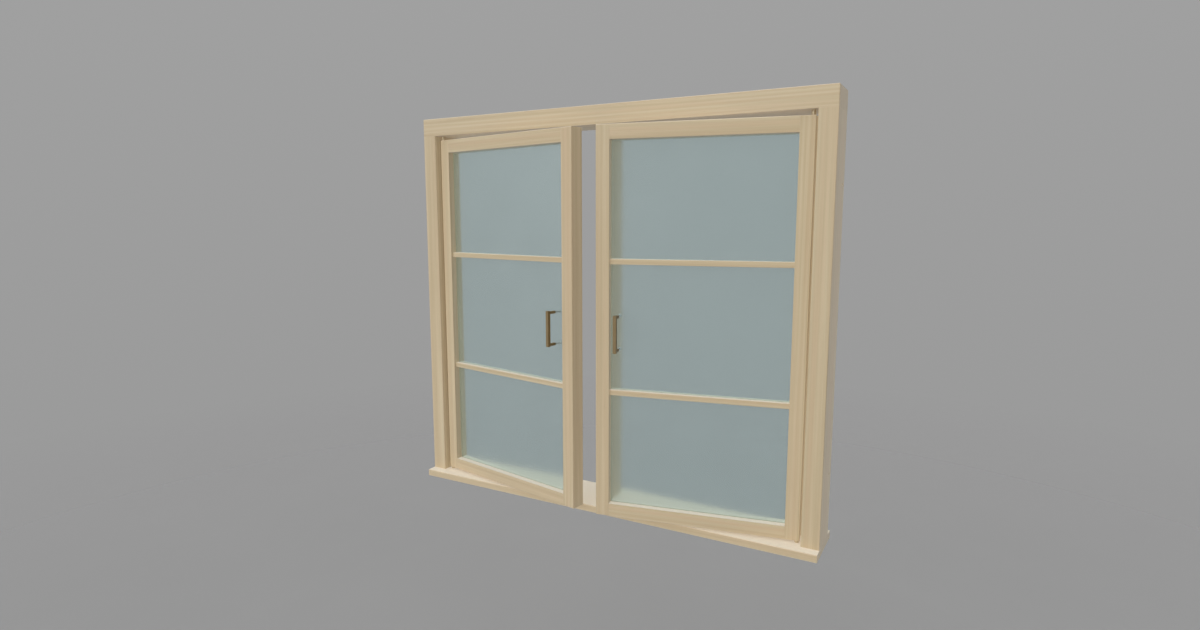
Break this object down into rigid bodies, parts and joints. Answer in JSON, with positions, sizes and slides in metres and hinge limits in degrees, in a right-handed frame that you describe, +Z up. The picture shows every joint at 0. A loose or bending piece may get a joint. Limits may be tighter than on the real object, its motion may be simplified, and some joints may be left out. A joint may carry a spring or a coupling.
{
  "type": "double casement window",
  "caption": "Timber casement window with a centre mullion and a pair of barred, frosted-glass sashes that swing into the room on corner pivots, shown ajar.",
  "frame": {"origin": "middle of the sill's underside, half way through the frame's depth", "axes": "+X along the window to the right seen from the room, +Y out of the room, +Z up"},
  "size_m": [1.2, 0.233, 1.1],
  "materials": {
    "pale_timber": "planed pale softwood with a thin matt clear coat",
    "frosted_glass": "frosted, faintly blue-green",
    "aged_bronze": "brown patina, rubbed on the grip",
    "pivot_brass": "turned brass, dulled"
  },
  "bodies": {
    "frame": {"head": "pale_timber", "left_jamb": "pale_timber", "right_jamb": "pale_timber", "mullion": "pale_timber", "sill": "pale_timber", "left_top_pivot": "pivot_brass", "left_bottom_pivot": "pivot_brass", "right_top_pivot": "pivot_brass", "right_bottom_pivot": "pivot_brass"},
    "left_sash": {"left_hinge_stile": "pale_timber", "left_meeting_stile": "pale_timber", "left_top_rail": "pale_timber", "left_bottom_rail": "pale_timber", "left_upper_bar": "pale_timber", "left_lower_bar": "pale_timber", "left_upper_pane": "frosted_glass", "left_middle_pane": "frosted_glass", "left_lower_pane": "frosted_glass", "left_pull_handle": "aged_bronze"},
    "right_sash": {"right_hinge_stile": "pale_timber", "right_meeting_stile": "pale_timber", "right_top_rail": "pale_timber", "right_bottom_rail": "pale_timber", "right_upper_bar": "pale_timber", "right_lower_bar": "pale_timber", "right_upper_pane": "frosted_glass", "right_middle_pane": "frosted_glass", "right_lower_pane": "frosted_glass", "right_pull_handle": "aged_bronze"}
  },
  "joints": [
    {"name": "left_sash_swing", "type": "hinge", "parent": "frame", "child": "left_sash", "pos_m": [-0.541, -0.0295, 0.535], "axis": [0, 0, -1], "range_deg": [-10.8, 79.2]},
    {"name": "right_sash_swing", "type": "hinge", "parent": "frame", "child": "right_sash", "pos_m": [0.541, -0.0295, 0.535], "axis": [0, 0, 1], "range_deg": [-10.8, 79.2]}
  ]
}
